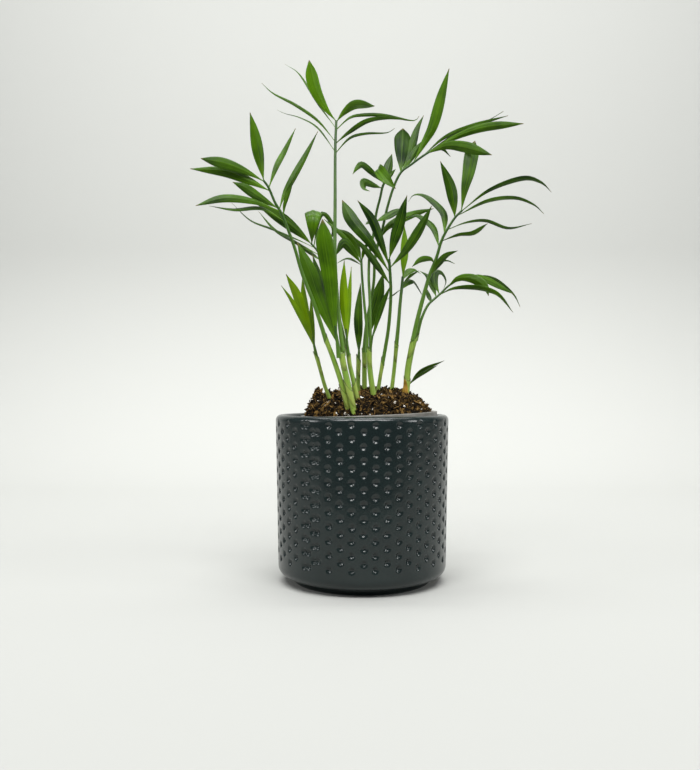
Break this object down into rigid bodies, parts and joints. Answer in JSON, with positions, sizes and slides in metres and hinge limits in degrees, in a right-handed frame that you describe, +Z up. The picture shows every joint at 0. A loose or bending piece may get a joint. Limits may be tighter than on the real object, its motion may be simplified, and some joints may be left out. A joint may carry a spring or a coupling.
{
  "type": "potted parlor palm",
  "caption": "Clump of parlor palm seedlings in a nursery pot that stands inside a round dark ceramic cover pot.",
  "frame": {"origin": "centre of the cover pot's foot, on the surface that it stands on", "axes": "+Z up, +X to the right seen from the front, front towards -Y"},
  "size_m": [0.1795, 0.1039, 0.277],
  "materials": {
    "slate_glaze": "glossy slate glaze",
    "grey_plastic": "thin moulded plastic",
    "potting_soil": "moist potting mix of bark, peat and perlite",
    "cane_green": "smooth green stem",
    "leaf_green": "satin living leaf",
    "young_leaf_green": "satin young leaf",
    "dry_sheath_brown": "dry papery leaf base"
  },
  "bodies": {
    "root": {"cover_pot": "slate_glaze", "nursery_pot": "grey_plastic", "potting_soil": "potting_soil", "cane_1": "cane_green", "cane_2": "cane_green", "cane_3": "cane_green", "cane_4": "cane_green", "cane_5": "cane_green", "cane_6": "cane_green", "cane_7": "cane_green", "cane_8": "cane_green", "cane_9": "cane_green", "cane_10": "cane_green", "frond_top": "leaf_green", "frond_left": "leaf_green", "frond_mid_left": "leaf_green", "lobed_leaf": "leaf_green", "upright_leaf": "leaf_green", "frond_small": "leaf_green", "frond_curled": "leaf_green", "frond_tall_right": "leaf_green", "leaf_behind": "leaf_green", "leaf_blade_right": "leaf_green", "frond_centre": "leaf_green", "frond_behind": "leaf_green", "frond_right": "leaf_green", "frond_right_low": "leaf_green", "basal_leaf": "leaf_green", "young_pair": "young_leaf_green", "seedling_leaf": "young_leaf_green", "dry_sheath": "dry_sheath_brown"}
  },
  "joints": []
}
